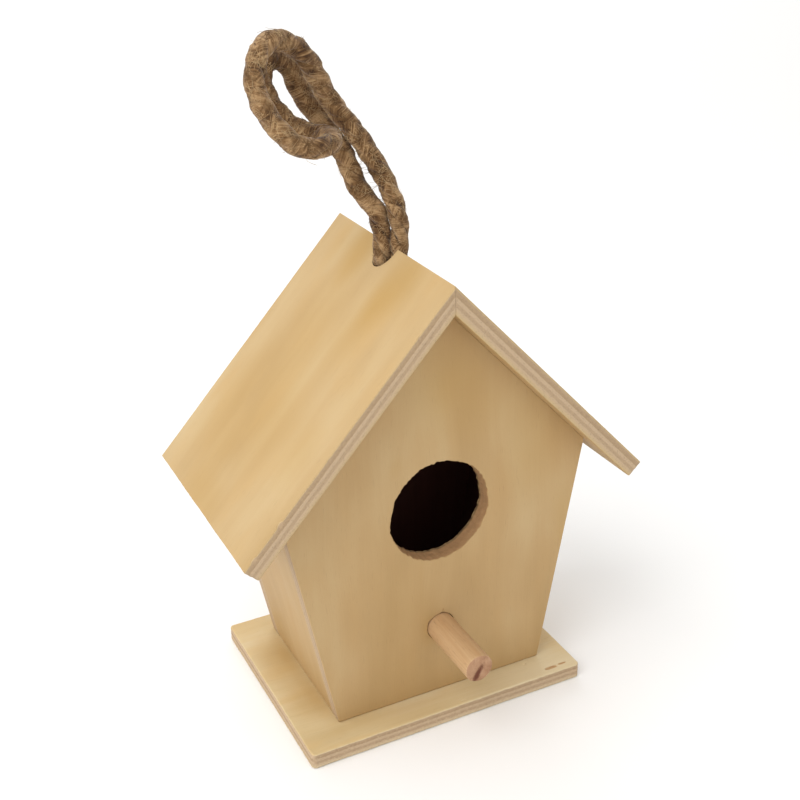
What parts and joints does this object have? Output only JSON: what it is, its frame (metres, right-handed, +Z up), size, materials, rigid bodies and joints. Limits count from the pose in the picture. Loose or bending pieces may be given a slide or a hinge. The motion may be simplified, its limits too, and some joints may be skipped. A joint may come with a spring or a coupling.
{
  "type": "birdhouse",
  "caption": "Peaked plywood birdhouse with leaning side walls, mitred roof, round entry hole, dowel perch and a twisted rope hanging loop.",
  "frame": {"origin": "on the underside of the base plate, straight below the ridge and midway between the outer faces of the front and back panels", "axes": "+Z up, -Y out through the entry hole, +X to the right as seen from the front"},
  "size_m": [0.137, 0.095, 0.2185],
  "materials": {
    "base_ply": "bare sanded plywood, matt",
    "wall_ply": "bare sanded plywood, matt",
    "roof_ply": "bare sanded plywood, matt",
    "dowel": "bare sanded hardwood dowel",
    "jute": "twisted natural jute, hairy and matt"
  },
  "bodies": {
    "root": {"base_panel": "base_ply", "front_panel": "wall_ply", "back_panel": "wall_ply", "left_side_panel": "wall_ply", "right_side_panel": "wall_ply", "left_roof_panel": "roof_ply", "right_roof_panel": "roof_ply", "perch_dowel": "dowel", "hanging_rope": "jute", "rope_knot": "jute"}
  },
  "joints": []
}
